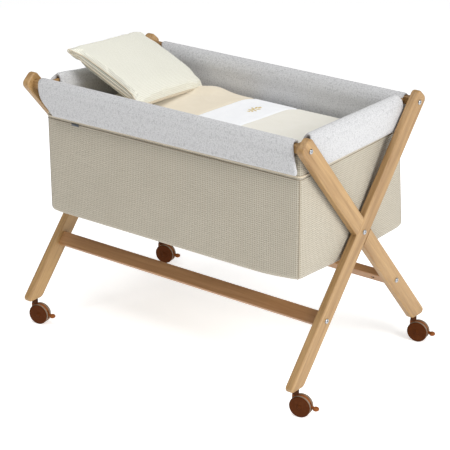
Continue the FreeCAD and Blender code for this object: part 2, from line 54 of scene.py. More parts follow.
scene = bpy.context.scene
MM = 0.001
STAND = "stand"


# -------- camera, light and floor

CAMERA_PLACE = Vector((2.52685, -3.2098, 1.9382))
CAMERA_AIM = Vector((-0.57254, 0.73052, -0.37221))
CAMERA_ROLL = math.radians(-0.2)
CAMERA_LENS = 136.13
SENSOR_WIDTH = 36
VIEW_DEPTH = 60

WORLD_STRENGTH = 0.3
# Each light's name, place, target, width in metres and power in watts.
LIGHTS = [
    ("key_light", (4.6, -0.4, 2.6), (0, 0, 0.4), 2.4, 176),
    ("top_light", (-0.3, -1.4, 4.2), (0, 0, 0.5), 2.6, 84),
]
FLOOR_REACH = 30
FLOOR_GLOW = 0.58
FLOOR_DARK = (243.445, 243.445, 243.445)
FLOOR_LIGHT = (248.153, 248.153, 248.153)


def add_object(name, data):
    """New object in the scene."""
    made = bpy.data.objects.new(name, data)
    scene.collection.objects.link(made)
    return made


def make_camera():
    """Long-lens camera that looks down on the right front corner."""
    data = bpy.data.cameras.new("camera")
    data.lens = CAMERA_LENS
    data.sensor_width = SENSOR_WIDTH
    data.clip_end = VIEW_DEPTH
    camera = add_object("camera", data)
    aim = CAMERA_AIM.normalized()
    right = aim.cross(Vector((0, 0, 1))).normalized()
    up = right.cross(aim)
    axes = Matrix((right, up, -aim)).transposed() @ Matrix.Rotation(CAMERA_ROLL, 3, "Z")
    camera.matrix_world = Matrix.Translation(CAMERA_PLACE) @ axes.to_4x4()
    scene.camera = camera


def area_light(name, place, target, size, power):
    """Soft square light that faces a target point."""
    data = bpy.data.lights.new(name, "AREA")
    data.size = size
    data.energy = power
    light = add_object(name, data)
    light.location = place
    light.rotation_euler = (Vector(target) - Vector(place)).to_track_quat("-Z", "Y").to_euler()


def make_studio():
    """White surroundings, a key light from the right, one from above the front, and a pale floor."""
    scene.view_settings.view_transform = "Standard"
    world = bpy.data.worlds.new("studio")
    scene.world = world
    world.use_nodes = True
    background = world.node_tree.nodes["Background"]
    background.inputs["Color"].default_value = (1.0, 1.0, 1.0, 1.0)
    background.inputs["Strength"].default_value = WORLD_STRENGTH
    for light in LIGHTS:
        area_light(*light)
    corners = [(x * FLOOR_REACH, y * FLOOR_REACH, 0) for x, y in ((-1, -1), (1, -1), (1, 1), (-1, 1))]
    mesh_object("studio_floor", corners, [(0, 1, 2, 3)], floor_material())


# -------- shader helpers

def linear(red, green, blue):
    """Scene-linear colour of an 8-bit sRGB one."""
    values = []
    for part in (red, green, blue):
        share = part / 255
        values.append(share / 12.92 if share <= 0.04045 else ((share + 0.055) / 1.055) ** 2.4)
    return (*values, 1.0)


class Shader:
    """One procedural material, with short calls for the nodes that it is made of."""

    def __init__(self, name, **surface):
        self.material = bpy.data.materials.new(name)
        self.material.use_nodes = True
        self.tree = self.material.node_tree
        self.surface = self.tree.nodes["Principled BSDF"]
        for socket, value in surface.items():
            self.surface.inputs[socket.replace("_", " ")].default_value = value

    def node(self, kind, inputs, **settings):
        """New node of a kind, with values or links on its inputs."""
        made = self.tree.nodes.new("ShaderNode" + kind)
        for setting, value in settings.items():
            setattr(made, setting, value)
        for socket, value in inputs.items():
            if isinstance(value, bpy.types.NodeSocket):
                self.tree.links.new(value, made.inputs[socket])
            else:
                made.inputs[socket].default_value = value
        return made

    def math(self, operation, first, second=0.0):
        """Result of an operation on one or two values."""
        return self.node("Math", {0: first, 1: second}, operation=operation).outputs[0]

    def place(self):
        """Position in the CAD frame, at rest."""
        return self.node("TexCoord", {}).outputs["Object"]

    def turned(self, vector, angles, kind="POINT"):
        """The vector in axes that are turned by these Euler angles."""
        rotation = Euler(angles).to_matrix().inverted().to_euler()
        return self.node("Mapping", {"Vector": vector, "Rotation": rotation}, vector_type=kind).outputs[0]

    def scaled(self, vector, scale):
        """The vector with each of its parts multiplied."""
        return self.node("Mapping", {"Vector": vector, "Scale": scale}).outputs[0]

    def noise(self, vector, scale, detail=3.0, roughness=0.5, distortion=0.0):
        """Cloudy pattern from 0 to 1."""
        inputs = {"Vector": vector, "Scale": scale, "Detail": detail, "Roughness": roughness,
                  "Distortion": distortion}
        return self.node("TexNoise", inputs).outputs[0]

    def cells(self, vector, scale, randomness=1.0, feature="F1"):
        """Distance from the middle of the nearest cell."""
        inputs = {"Vector": vector, "Scale": scale, "Randomness": randomness}
        return self.node("TexVoronoi", inputs, feature=feature).outputs["Distance"]

    def spread(self, value, low, high, new_low=0.0, new_high=1.0):
        """A value from one range carried over to another, and kept inside it."""
        inputs = {"Value": value, "From Min": low, "From Max": high, "To Min": new_low, "To Max": new_high}
        return self.node("MapRange", inputs).outputs[0]

    def mix(self, factor, first, second):
        """First colour where the factor is 0, second where it is 1; each is an output or 8-bit sRGB."""
        first, second = [linear(*colour) if isinstance(colour, tuple) else colour
                         for colour in (first, second)]
        return self.node("Mix", {0: factor, 6: first, 7: second}, data_type="RGBA").outputs[2]

    def parts(self, vector):
        """A vector's x, y and z outputs."""
        return self.node("SeparateXYZ", {0: vector}).outputs

    def bump(self, height, distance, strength, below=None):
        """Normal of a height pattern of this depth, laid over another bump if one is given."""
        inputs = {"Height": height, "Distance": distance, "Strength": strength}
        if below is not None:
            inputs["Normal"] = below
        return self.node("Bump", inputs).outputs[0]

    def finish(self, **links):
        """Links outputs to the surface's sockets and gives the material."""
        for socket, output in links.items():
            self.tree.links.new(output, self.surface.inputs[socket.replace("_", " ")])
        return self.material


def floor_material():
    """Pale matt floor that glows a little, so that it is white round the object."""
    shader = Shader("studio_floor", Roughness=0.9, Emission_Strength=FLOOR_GLOW)
    cloud = shader.noise(shader.place(), 0.6)
    colour = shader.mix(cloud, FLOOR_DARK, FLOOR_LIGHT)
    return shader.finish(Base_Color=colour, Emission_Color=colour)


# -------- hard materials

# Colours are 8-bit sRGB. A noise or cell scale is in repeats per metre.
WOOD_LIGHT = (182, 147, 98)
WOOD_DARK = (136, 101, 58)
WOOD_FIBRE = (148, 108, 62)
WOOD_FLECK = (130, 88, 48)
# Lower rails: the same beech given darker tones, painted shade from the basket above them.
LOWER_RAIL_PAINTED_SHADE_PALE = (176, 132, 88)
LOWER_RAIL_PAINTED_SHADE_DEEP = (146, 102, 60)
PLY_LIGHT = (214, 184, 140)
PLY_DARK = (180, 140, 92)
PLY_GLUE = (150, 110, 70)
ZINC_LIGHT = (196, 199, 203)
ZINC_DARK = (158, 162, 168)
RUBBER_LIGHT = (150, 132, 112)
RUBBER_DARK = (104, 90, 76)


def wood_material(name, lean=0.0, along="Z", light=WOOD_LIGHT, dark=WOOD_DARK):
    """Lacquered beech with its grain along X, or along Z leaned about the X axis."""
    shader = Shader(name, Coat_Weight=0.12, Coat_Roughness=0.35)
    place = shader.turned(shader.place(), (lean, 0, 0))
    stretch = {"X": (0.05, 1, 1), "Z": (1, 1, 0.05)}[along]
    long_way = shader.scaled(place, stretch)
    bands = shader.noise(long_way, 90, detail=5, roughness=0.6, distortion=0.5)
    fibres = shader.noise(long_way, 520, detail=3, roughness=0.7)
    patches = shader.noise(long_way, 14, detail=2)
    flecks = shader.spread(shader.cells(long_way, 420), 0.0, 0.16)
    tone = shader.math("MULTIPLY", bands, 0.55)
    tone = shader.math("ADD", tone, shader.math("MULTIPLY", patches, 0.45))
    tone = shader.spread(tone, 0.38, 0.62)
    colour = shader.mix(tone, light, dark)
    fine = shader.spread(fibres, 0.35, 0.75, 0.0, 0.26)
    colour = shader.mix(fine, colour, WOOD_FIBRE)
    darker = shader.mix(shader.math("SUBTRACT", 1.0, flecks), colour, WOOD_FLECK)
    roughness = shader.spread(fibres, 0.3, 0.7, 0.4, 0.56)
    height = shader.math("ADD", fibres, shader.math("MULTIPLY", flecks, 0.6))
    relief = shader.bump(height, 0.2 * MM, 0.5)
    return shader.finish(Base_Color=darker, Roughness=roughness, Normal=relief)


def plywood_material():
    """Bare plywood, with its layers showing on the cut edges."""
    shader = Shader("plywood", Roughness=0.7)
    place = shader.place()
    grain = shader.noise(shader.scaled(place, (0.06, 1, 1)), 140, detail=4, distortion=0.8)
    plies = shader.node("TexWave", {"Vector": place, "Scale": 105.0, "Distortion": 0.4},
                        bands_direction="Z").outputs["Fac"]
    colour = shader.mix(grain, PLY_LIGHT, PLY_DARK)
    colour = shader.mix(shader.math("MULTIPLY", plies, 0.35), colour, PLY_GLUE)
    return shader.finish(Base_Color=colour, Normal=shader.bump(grain, 0.2 * MM, 0.5))


def zinc_material():
    """Zinc-plated steel with a crystal pattern and uneven gloss."""
    shader = Shader("zinc_steel", Metallic=1.0)
    place = shader.place()
    crystals = shader.cells(place, 900)
    smears = shader.noise(place, 260, detail=4)
    colour = shader.mix(crystals, ZINC_LIGHT, ZINC_DARK)
    roughness = shader.spread(smears, 0.3, 0.7, 0.2, 0.42)
    relief = shader.bump(smears, 0.05 * MM, 0.5)
    return shader.finish(Base_Color=colour, Roughness=roughness, Normal=relief)


def plastic_material(name, colour, worn, above=None):
    """Moulded plastic with a fine spark-eroded grain and slightly rubbed spots.

    above is a height and the darker colour that the moulding has over it.
    """
    shader = Shader(name, Specular_IOR_Level=0.06)
    place = shader.place()
    texture = shader.noise(place, 1500, detail=2)
    rubbed = shader.spread(shader.noise(place, 120, detail=3), 0.5, 0.75, 0.0, 0.5)
    tint = shader.mix(rubbed, colour, worn)
    if above:
        height, dark = above
        over = shader.math("GREATER_THAN", shader.parts(place)[2], height)
        tint = shader.mix(over, tint, dark)
    roughness = shader.spread(rubbed, 0.0, 0.5, 0.5, 0.38)
    relief = shader.bump(texture, 0.06 * MM, 0.6)
    return shader.finish(Base_Color=tint, Roughness=roughness, Normal=relief)


def tread_material():
    """Soft grey-brown rubber with dust in it."""
    shader = Shader("tread_rubber", Roughness=0.75)
    place = shader.place()
    dust = shader.noise(place, 300, detail=5, roughness=0.7)
    colour = shader.mix(dust, RUBBER_LIGHT, RUBBER_DARK)
    return shader.finish(Base_Color=colour, Normal=shader.bump(dust, 0.1 * MM, 0.6))


# -------- fabrics

WAFFLE_PITCH = 5.2 * MM
THREAD_SHARPNESS = 3.5
# The muslin's own colour, and the darker colour painted in its dimples as shade.
MUSLIN_CREST = (203, 203, 204)
MUSLIN_DIMPLE_SHADE = (134, 135, 137)
MUSLIN_WOBBLE = 4 * MM
GOLD_LIGHT = (224, 206, 152)
GOLD_DARK = (200, 176, 116)


def waffle_material(name, ridge, shaded_pit, pitch=WAFFLE_PITCH, angles=(0, 0, 0)):
    """Waffle weave: raised threads around sunk square cells, across whichever way a wall faces; the sunk
    cells are painted darker as shade.
    """
    shader = Shader(name, Roughness=0.88, Sheen_Weight=0.25, Sheen_Roughness=0.5)
    place = shader.turned(shader.place(), angles)
    facing = shader.turned(shader.node("NewGeometry", {}).outputs["Normal"], angles, "VECTOR")
    height = None
    for axis, side in zip(shader.parts(place), shader.parts(facing)):
        turn = shader.math("MULTIPLY", axis, math.pi / pitch)
        wave = shader.math("ABSOLUTE", shader.math("SINE", turn))
        thread = shader.math("POWER", wave, THREAD_SHARPNESS)
        square = shader.math("MULTIPLY", side, side)
        thread = shader.math("MULTIPLY", thread, shader.spread(square, 0.35, 0.75, 1.0, 0.0))
        height = thread if height is None else shader.math("MAXIMUM", height, thread)
    yarn = shader.noise(place, 2600, detail=2)
    broad = shader.noise(place, 9, detail=3)
    # Painted shade: the sunk cells take the darker pit colour, the raised threads the ridge colour.
    colour = shader.mix(height, shaded_pit, ridge)
    slub = shader.spread(broad, 0.3, 0.7, 0.0, 0.14)
    colour = shader.mix(slub, colour, shaded_pit)
    fuzz = shader.bump(yarn, 0.12 * MM, 0.6)
    return shader.finish(Base_Color=colour, Normal=shader.bump(height, 0.9 * MM, 0.75, fuzz))


def muslin_material():
    """White crinkled muslin: small soft bubbles with dimples between them, the dimples painted darker as
    shade.
    """
    shader = Shader("muslin_fabric", Roughness=0.9, Sheen_Weight=0.3, Sheen_Roughness=0.5)
    place = shader.place()
    wobble = shader.math("MULTIPLY", shader.noise(place, 90, detail=2), MUSLIN_WOBBLE)
    sideways = shader.node("CombineXYZ", {0: wobble, 1: 0.0, 2: 0.0}).outputs[0]
    moved = shader.node("VectorMath", {0: place, 1: sideways}, operation="ADD").outputs[0]
    bubbles = shader.cells(moved, 330, randomness=0.6, feature="SMOOTH_F1")
    crinkle = shader.noise(shader.scaled(place, (1, 1, 0.3)), 300, detail=3)
    height = shader.math("SUBTRACT", shader.math("MULTIPLY", crinkle, 0.5), bubbles)
    # Painted shade: darker in the dimples between the bubbles, varied by the crinkle.
    shade = shader.spread(bubbles, 0.25, 0.75, 0.0, 0.8)
    shade = shader.math("MULTIPLY", shade, shader.spread(crinkle, 0.35, 0.65, 0.4, 1.0))
    colour = shader.mix(shade, MUSLIN_CREST, MUSLIN_DIMPLE_SHADE)
    return shader.finish(Base_Color=colour, Normal=shader.bump(height, 1.2 * MM, 0.7))


BAND_LEFT = -53 * MM
BAND_RIGHT = 87 * MM
BAND_SKEW = -0.08
# Each cloth's own colour, and a darker one painted in its creases as shade.
BEIGE = ((228, 217, 196), (216, 203, 178))
CREAM = ((237, 234, 224), (228, 224, 210))
WHITE = ((247, 248, 250), (232, 234, 238))


def duvet_material():
    """Cotton sateen, beige on the left and cream on the right of a white band across it, with painted
    shade in its creases.
    """
    shader = Shader("duvet_fabric", Roughness=0.8, Sheen_Weight=0.2, Sheen_Roughness=0.5)
    place = shader.place()
    x, y = shader.parts(place)[:2]
    skewed = shader.math("ADD", x, shader.math("MULTIPLY", y, BAND_SKEW))
    inside = shader.math("MULTIPLY", shader.math("GREATER_THAN", skewed, BAND_LEFT),
                         shader.math("LESS_THAN", skewed, BAND_RIGHT))
    warp = shader.noise(shader.scaled(place, (1, 0.12, 0.12)), 1500, detail=2)
    weft = shader.noise(shader.scaled(place, (0.12, 1, 0.12)), 1500, detail=2)
    threads = shader.math("ADD", warp, weft)
    creases = shader.noise(place, 26, detail=4, roughness=0.55, distortion=0.6)
    # Painted shade: the crease pattern darkens each cloth towards its crease colour.
    tone = shader.spread(creases, 0.3, 0.7, 0.0, 0.35)
    beige, cream, white = [shader.mix(tone, flat, crease_shade)
                           for flat, crease_shade in (BEIGE, CREAM, WHITE)]
    cloth = shader.mix(shader.math("GREATER_THAN", skewed, BAND_RIGHT), beige, cream)
    colour = shader.mix(inside, cloth, white)
    grain = shader.bump(threads, 0.1 * MM, 0.5)
    return shader.finish(Base_Color=colour, Normal=shader.bump(creases, 1.6 * MM, 0.5, grain))


def plain_fabric(name, colour, shade, scale=1400):
    """Tightly woven plain cloth, for piping, tapes and ticking."""
    shader = Shader(name, Roughness=0.85, Sheen_Weight=0.2, Sheen_Roughness=0.5)
    place = shader.place()
    weave = shader.cells(place, scale, randomness=0.4)
    soil = shader.noise(place, 40, detail=4)
    tint = shader.mix(shader.spread(soil, 0.3, 0.7, 0.0, 0.5), colour, shade)
    return shader.finish(Base_Color=tint, Normal=shader.bump(weave, 0.2 * MM, 0.5))


def gold_thread_material():
    """Shiny embroidery thread, with its strands showing."""
    shader = Shader("gold_thread", Roughness=0.45, Sheen_Weight=0.3, Sheen_Roughness=0.3)
    place = shader.place()
    strands = shader.noise(shader.scaled(place, (0.1, 1, 1)), 2200, detail=2)
    colour = shader.mix(strands, GOLD_LIGHT, GOLD_DARK)
    return shader.finish(Base_Color=colour, Normal=shader.bump(strands, 0.2 * MM, 0.8))


# -------- mesh helpers

LATHE_SEGMENTS = 40
CLOTH_FRAMES = 20
CLOTH = {"quality": 5, "mass": 0.3, "tension_stiffness": 15, "compression_stiffness": 15,
         "bending_stiffness": 0.5, "use_pressure": True}


def mesh_object(name, vertices, faces, material=None):
    """Smooth-shaded mesh with its faces turned outward."""
    mesh = bpy.data.meshes.new(name)
    mesh.from_pydata(vertices, [], faces)
    mesh.update()
    built = bmesh.new()
    built.from_mesh(mesh)
    bmesh.ops.recalc_face_normals(built, faces=built.faces)
    built.to_mesh(mesh)
    built.free()
    mesh.shade_smooth()
    if material:
        mesh.materials.append(material)
    return add_object(name, mesh)


def curve_point(controls, place):
    """Point on a smooth curve through the control tuples; place runs from 0 to 1."""
    last = len(controls) - 1
    reach = min(max(place, 0.0), 1.0) * last
    index = min(int(reach), last - 1)
    share = reach - index
    before = controls[max(index - 1, 0)]
    first, second = controls[index], controls[index + 1]
    after = controls[min(index + 2, last)]
    values = []
    for a, b, c, d in zip(before, first, second, after):
        values.append(0.5 * (2 * b + (c - a) * share + (2 * a - 5 * b + 4 * c - d) * share ** 2
                             + (3 * b - 3 * c + d - a) * share ** 3))
    return values


def ripple(point, size, depth):
    """Smooth unevenness of about the given size and depth, the same in every run."""
    return depth * noise.noise(Vector(point) / size)


def tube(name, points, radius, material, closed=False):
    """Round mesh cord swept along points, in a ring if it is closed."""
    data = bpy.data.curves.new(name + "_path", "CURVE")
    data.dimensions = "3D"
    spline = data.splines.new("POLY")
    spline.points.add(len(points) - 1)
    for target, point in zip(spline.points, points):
        target.co = (*point, 1.0)
    spline.use_cyclic_u = closed
    data.bevel_depth = radius
    data.bevel_resolution = 3
    data.use_fill_caps = not closed
    path = add_object(name + "_path", data)
    mesh = bpy.data.meshes.new_from_object(path.evaluated_get(bpy.context.evaluated_depsgraph_get()))
    bpy.data.objects.remove(path)
    mesh.name = name
    mesh.shade_smooth()
    mesh.materials.clear()
    mesh.materials.append(material)
    return add_object(name, mesh)


def pad_faces(columns, rows):
    """Faces of a closed pad: two matching grids of points, one after the other, and a band between.

    A grid's points run along its rows first.
    """
    width = rows + 1
    count = (columns + 1) * width
    faces = []
    for column in range(columns):
        for row in range(rows):
            first = column * width + row
            loop = (first, first + width, first + width + 1, first + 1)
            faces.append(loop)
            faces.append(tuple(count + index for index in reversed(loop)))
    border = list(range(rows))
    border += [column * width + rows for column in range(columns)]
    border += [columns * width + row for row in range(rows, 0, -1)]
    border += [column * width for column in range(columns, 0, -1)]
    for index, first in enumerate(border):
        following = border[(index + 1) % len(border)]
        faces.append((first, following, count + following, count + first))
    return faces


def lathe(name, outline, centre, axis, material):
    """Body turned about an axis from (radius, height) points, its first and last on the axis."""
    segments = LATHE_SEGMENTS
    turn = Vector((0, 0, 1)).rotation_difference(Vector(axis))
    vertices = [Vector((0, 0, outline[0][1]))]
    for radius, height in outline[1:-1]:
        for step in range(segments):
            angle = 2 * math.pi * step / segments
            vertices.append(Vector((radius * math.cos(angle), radius * math.sin(angle), height)))
    vertices.append(Vector((0, 0, outline[-1][1])))
    faces = [(0, 1 + step, 1 + (step + 1) % segments) for step in range(segments)]
    for ring in range(len(outline) - 3):
        base = 1 + ring * segments
        for step in range(segments):
            following = (step + 1) % segments
            faces.append((base + step, base + segments + step,
                          base + segments + following, base + following))
    base = 1 + (len(outline) - 3) * segments
    last = len(vertices) - 1
    faces += [(base + step, last, base + (step + 1) % segments) for step in range(segments)]
    placed = [turn @ vertex + Vector(centre) for vertex in vertices]
    return mesh_object(name, placed, faces, material)


def modify(piece, kind, **settings):
    """Changes a piece's mesh by one modifier."""
    modifier = piece.modifiers.new(kind.lower(), kind)
    for setting, value in settings.items():
        setattr(modifier, setting, value)
    graph = bpy.context.evaluated_depsgraph_get()
    mesh = bpy.data.meshes.new_from_object(piece.evaluated_get(graph))
    piece.modifiers.clear()
    piece.data = mesh
    mesh.shade_smooth()


def inflate(piece, pressure, slack, cap):
    """Fills a closed cover by cloth simulation; no point moves further than cap.

    slack is the share by which the cloth may be longer than the cover that it starts from.
    """
    start = [vertex.co.copy() for vertex in piece.data.vertices]
    cloth = piece.modifiers.new("cloth", "CLOTH")
    for setting, value in CLOTH.items():
        setattr(cloth.settings, setting, value)
    cloth.settings.uniform_pressure_force = pressure
    cloth.settings.shrink_min = -slack
    cloth.settings.effector_weights.gravity = 0
    cloth.point_cache.frame_start = 1
    cloth.point_cache.frame_end = CLOTH_FRAMES
    for number in range(1, CLOTH_FRAMES + 1):
        scene.frame_set(number)
    graph = bpy.context.evaluated_depsgraph_get()
    moved = [vertex.co.copy() for vertex in piece.evaluated_get(graph).data.vertices]
    piece.modifiers.remove(cloth)
    scene.frame_set(1)
    for vertex, first, last in zip(piece.data.vertices, start, moved):
        move = last - first
        if move.length > cap:
            move *= cap / move.length
        vertex.co = first + move
    piece.data.update()


def surface_tree(piece):
    """Search tree of a piece's final surface."""
    return BVHTree.FromObject(piece, bpy.context.evaluated_depsgraph_get())


# -------- padded rims

RAIL_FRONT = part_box("top_rail_front")
RAIL_Y = -(RAIL_FRONT[0].y + RAIL_FRONT[1].y) / 2
BAR_RADIUS = 6 * MM
BAR_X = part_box("end_bars")[1].x - BAR_RADIUS

# A section's points: distance outward from the rail's middle, height, thickness outward and inward of
# that line, and how far each end of the rim reaches there. In millimetres.


def side_section(ridge, left_top, left_low, right_top, right_low):
    """Section of a side rim, from the bottom of its outer flap over the rail to the bumper's bottom."""
    middle = (left_top + left_low) / 2
    return [
        (14.0, 590, 2.6, 2.0, left_low + 8, right_low - 4),
        (14.6, 600, 5.0, 4.0, left_low, right_low),
        (15.2, 622, 7.2, 4.2, middle - 4, (right_low + right_top) / 2 + 3),
        (14.8, 642, 7.4, 4.2, left_top + 4, right_top + 6),
        (12.6, ridge - 11, 6.2, 2.2, left_top, right_top + 2),
        (7.0, ridge - 1.5, 6.6, 1.6, left_top, right_top),
        (0.0, ridge, 7.0, 3.0, left_top, right_top),
        (-7.0, ridge - 1.5, 7.0, 1.6, left_top, right_top),
        (-14.0, ridge - 11, 7.5, 3.0, left_top + 6, right_top - 4),
        (-17.0, 645, 9.5, 6.0, -371, 371),
        (-18.0, 622, 12.0, 5.0, -370, 370),
        (-18.5, 598, 13.0, 5.0, -370, 370),
        (-17.0, 562, 4.0, 4.0, -370, 370),
    ]


FRONT_SECTION = side_section(676.5, -399, -360, 397, 412)
REAR_SECTION = side_section(673, -381, -372, 399, 399)
END_SECTION = [
    (14.5, 590, 2.6, 2.0, -196, 194),
    (15.7, 600, 4.8, 4.0, -200, 199),
    (15.7, 622, 5.6, 4.2, -202, 202),
    (15.5, 645, 6.2, 4.2, -202, 202),
    (12.8, 664, 6.4, 3.0, -187, 202),
    (6.5, 673.5, 6.8, 3.0, -178, 198),
    (0.0, 675.5, 7.2, 4.4, -177, 197),
    (-6.5, 673.5, 7.2, 3.0, -177, 197),
    (-12.5, 664, 7.5, 3.0, -178, 200),
    (-15.0, 645, 7.5, 6.5, -182, 202),
    (-15.0, 622, 7.5, 6.5, -202, 202),
    (-15.0, 595, 7.5, 6.5, -202, 202),
    (-15.0, 562, 4.0, 4.0, -202, 202),
]
RIM_STATIONS = 150
RIM_ROWS = 64
STATION_CROWDING = 0.08
SECTION_STEP = 0.01
END_TAPER = 9 * MM
BORDER_THIN = 0.12
FLAP_SHARE = 0.35
FRONT_RISE = 8
END_RISE = 6
# The size and depth of an unevenness.
BROAD_WAVE = (85 * MM, 1.6 * MM)
FINE_WAVE = (30 * MM, 0.7 * MM)
PUCKER_DEPTH = 0.5 * MM
PUCKER_RATE = 230


def section_face(section, down):
    """The way a section faces at a share of its length, as outward and up."""
    ahead = curve_point(section, down + SECTION_STEP)
    behind = curve_point(section, down - SECTION_STEP)
    run = Vector((behind[0] - ahead[0], behind[1] - ahead[1])).normalized()
    return Vector((run.y, -run.x))


def padding_share(edge):
    """Share of the padding that is left at a distance from a rim's end."""
    inward = min(1.0, edge / END_TAPER)
    return BORDER_THIN + (1 - BORDER_THIN) * math.sqrt(max(0.0, 1 - (1 - inward) ** 2))


def padded_rim(name, section, middle, outward, along, rise, press=None):
    """Padded cloth folded over a rail: a closed skin whose ends are sewn thin.

    rise lifts the flap's lower edge towards the rim's far end, in millimetres; press gives how far
    something pushes the rim down.
    """
    middle, outward, along = Vector(middle), Vector(outward), Vector(along)
    outside, inside = [], []
    for station in range(RIM_STATIONS + 1):
        share = station / RIM_STATIONS
        share -= STATION_CROWDING * math.sin(2 * math.pi * share)
        for row in range(RIM_ROWS + 1):
            down = row / RIM_ROWS
            depth, height, thick_out, thick_in, low, high = curve_point(section, down)
            reach = (low + (high - low) * share) * MM
            padding = padding_share(min(reach - low * MM, high * MM - reach))
            centre = middle + along * reach + outward * depth * MM
            centre.z = height * MM + rise * MM * share * max(0.0, 1 - down / FLAP_SHARE)
            if press:
                centre.z -= press(reach, height)
            face = section_face(section, down)
            normal = outward * face.x + Vector((0, 0, face.y))
            wave = ripple(centre, *BROAD_WAVE) + ripple(centre, *FINE_WAVE)
            pucker = math.sin(reach * PUCKER_RATE + 3 * noise.noise(centre * 9))
            wave += PUCKER_DEPTH * pucker * (1 - down) ** 3
            outside.append(centre + normal * (padding * (thick_out * MM + wave)))
            inside.append(centre - normal * (padding * thick_in * MM))
    faces = pad_faces(RIM_STATIONS, RIM_ROWS)
    rim = mesh_object(name, outside + inside, faces, MATERIALS["muslin_fabric"])
    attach(rim, STAND)
    return rim


PRESS_DEPTH = 13 * MM
PRESS_MIDDLE = 20 * MM
PRESS_REACH = 150 * MM
PRESS_FOOT = 600
PRESS_RUN = 60


def pillow_press(reach, height):
    """How far the pillow pushes the left rim down, at a place along it and a height in millimetres."""
    under = math.exp(-((reach - PRESS_MIDDLE) / PRESS_REACH) ** 4)
    return PRESS_DEPTH * under * max(0.0, min(1.0, (height - PRESS_FOOT) / PRESS_RUN))


def make_rims():
    """The four padded rims, the left one pushed down under the pillow."""
    sides = {"front": (-1, FRONT_SECTION, FRONT_RISE), "rear": (1, REAR_SECTION, 0)}
    for name, (side, section, rise) in sides.items():
        rim = padded_rim(f"rim_pad_{name}", section, (0, side * RAIL_Y, 0), (0, side, 0), (1, 0, 0), rise)
        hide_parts(f"padded_rim_{name}")
    ends = {"left": (-1, pillow_press), "right": (1, None)}
    for name, (end, press) in ends.items():
        rim = padded_rim(f"rim_pad_{name}", END_SECTION, (end * BAR_X, 0, 0), (end, 0, 0), (0, 1, 0),
                         END_RISE, press)
        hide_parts(f"padded_rim_{name}")


# -------- basket

BASKET_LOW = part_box("basket_panel_front")[0]
BASKET_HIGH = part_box("basket_panel_rear")[1]
CLOTH_THICKNESS = 3 * MM
CORNER_RADIUS = 10 * MM
CORNER_SPREAD = 0.6
BASE_RADIUS = 18 * MM
WALL_LOW = BASKET_LOW.z + BASE_RADIUS
PIPING_HEIGHT = 583 * MM
PIPING_RISE = 7 * MM
SIDE_BULGE = 3 * MM
END_BULGE = 9 * MM
WALL_WAVE = (110 * MM, 1.6 * MM)

LEFT_TUCK = 9 * MM
RIGHT_CORNER_REACH = 7 * MM
REAR_CORNER_TUCK = 11 * MM
TUCK_START = 335 * MM
TUCK_RUN = 165 * MM
CORNER_LIFT = 9 * MM
LIFT_TOP = 450 * MM
LIFT_FADE = 100 * MM
LIFT_REACH_X = 70 * MM
LIFT_REACH_Y = 130 * MM

WALL_POINTS = 40
CORNER_POINTS = 5
WALL_RINGS = 28
EDGE_RINGS = 6
FLOOR_RINGS = 11


def corner_lift(point):
    """How far the base is drawn up at the right front corner."""
    fade = max(0.0, min(1.0, (LIFT_TOP - point.z) / LIFT_FADE))
    away_x = (point.x - BASKET_HIGH.x) / LIFT_REACH_X
    away_y = (point.y - BASKET_LOW.y) / LIFT_REACH_Y
    return CORNER_LIFT * fade * math.exp(-(away_x ** 2 + away_y ** 2))


def arc_point(x, y, radius, degrees, height):
    """Point at an angle on a level arc about (x, y)."""
    angle = math.radians(degrees)
    return Vector((x + radius * math.cos(angle), y + radius * math.sin(angle), height))


def basket_loop(height, inset=0.0):
    """Points around the basket at one height, counter-clockwise from the front left corner."""
    low_x, low_y = BASKET_LOW.x + LEFT_TUCK + inset, BASKET_LOW.y + inset
    high_x, high_y = BASKET_HIGH.x - inset, BASKET_HIGH.y - inset
    radius = CORNER_RADIUS + inset * CORNER_SPREAD
    front_x = high_x + RIGHT_CORNER_REACH
    rear_x = high_x - REAR_CORNER_TUCK * min(1.0, max(0.0, (height - TUCK_START) / TUCK_RUN))
    # The middle of each corner's arc, and the angle that it starts at.
    corners = [(low_x + radius, low_y + radius, 180), (front_x - radius, low_y + radius, 270),
               (rear_x - radius, high_y - radius, 0), (low_x + radius, high_y - radius, 90)]
    rise = (height - BASKET_LOW.z) / (PIPING_HEIGHT - BASKET_LOW.z)
    swell = math.sin(math.pi * rise) ** 0.8 if 0 < rise < 1 else 0.0
    points = []
    for index, (x, y, start) in enumerate(corners):
        for step in range(CORNER_POINTS):
            points.append(arc_point(x, y, radius, start + 90 * step / (CORNER_POINTS - 1), height))
        first = points[-1].copy()
        next_x, next_y, next_start = corners[(index + 1) % 4]
        last = arc_point(next_x, next_y, radius, next_start, height)
        outward = arc_point(0, 0, 1, start + 90, 0)
        bulge = SIDE_BULGE if index % 2 == 0 else END_BULGE
        for step in range(1, WALL_POINTS):
            share = step / WALL_POINTS
            point = first.lerp(last, share)
            point += outward * (bulge * swell * math.sin(math.pi * share) ** 0.7)
            point += outward * ripple(point, *WALL_WAVE) * swell
            points.append(point)
    for point in points:
        point.z += corner_lift(point)
    return points


def edge_loop(step):
    """Points around the base's rounded edge, from its top at step 0 to its bottom at EDGE_RINGS."""
    angle = math.pi / 2 * step / EDGE_RINGS
    return basket_loop(WALL_LOW - BASE_RADIUS * math.sin(angle), BASE_RADIUS * (1 - math.cos(angle)))


def basket_rings():
    """Rings of the shell from its top edge down the walls, round the base edge and under the floor."""
    top = BASKET_HIGH.z
    rings = [basket_loop(top + (WALL_LOW - top) * step / (WALL_RINGS - 1)) for step in range(WALL_RINGS)]
    rings += [edge_loop(step) for step in range(1, EDGE_RINGS + 1)]
    base = rings[-1]
    centre = Vector(((BASKET_LOW.x + BASKET_HIGH.x) / 2, 0, BASKET_LOW.z))
    for step in range(1, FLOOR_RINGS + 1):
        shrink = 1 - step / (FLOOR_RINGS + 0.5)
        rings.append([centre + (point - centre) * shrink for point in base])
    return rings


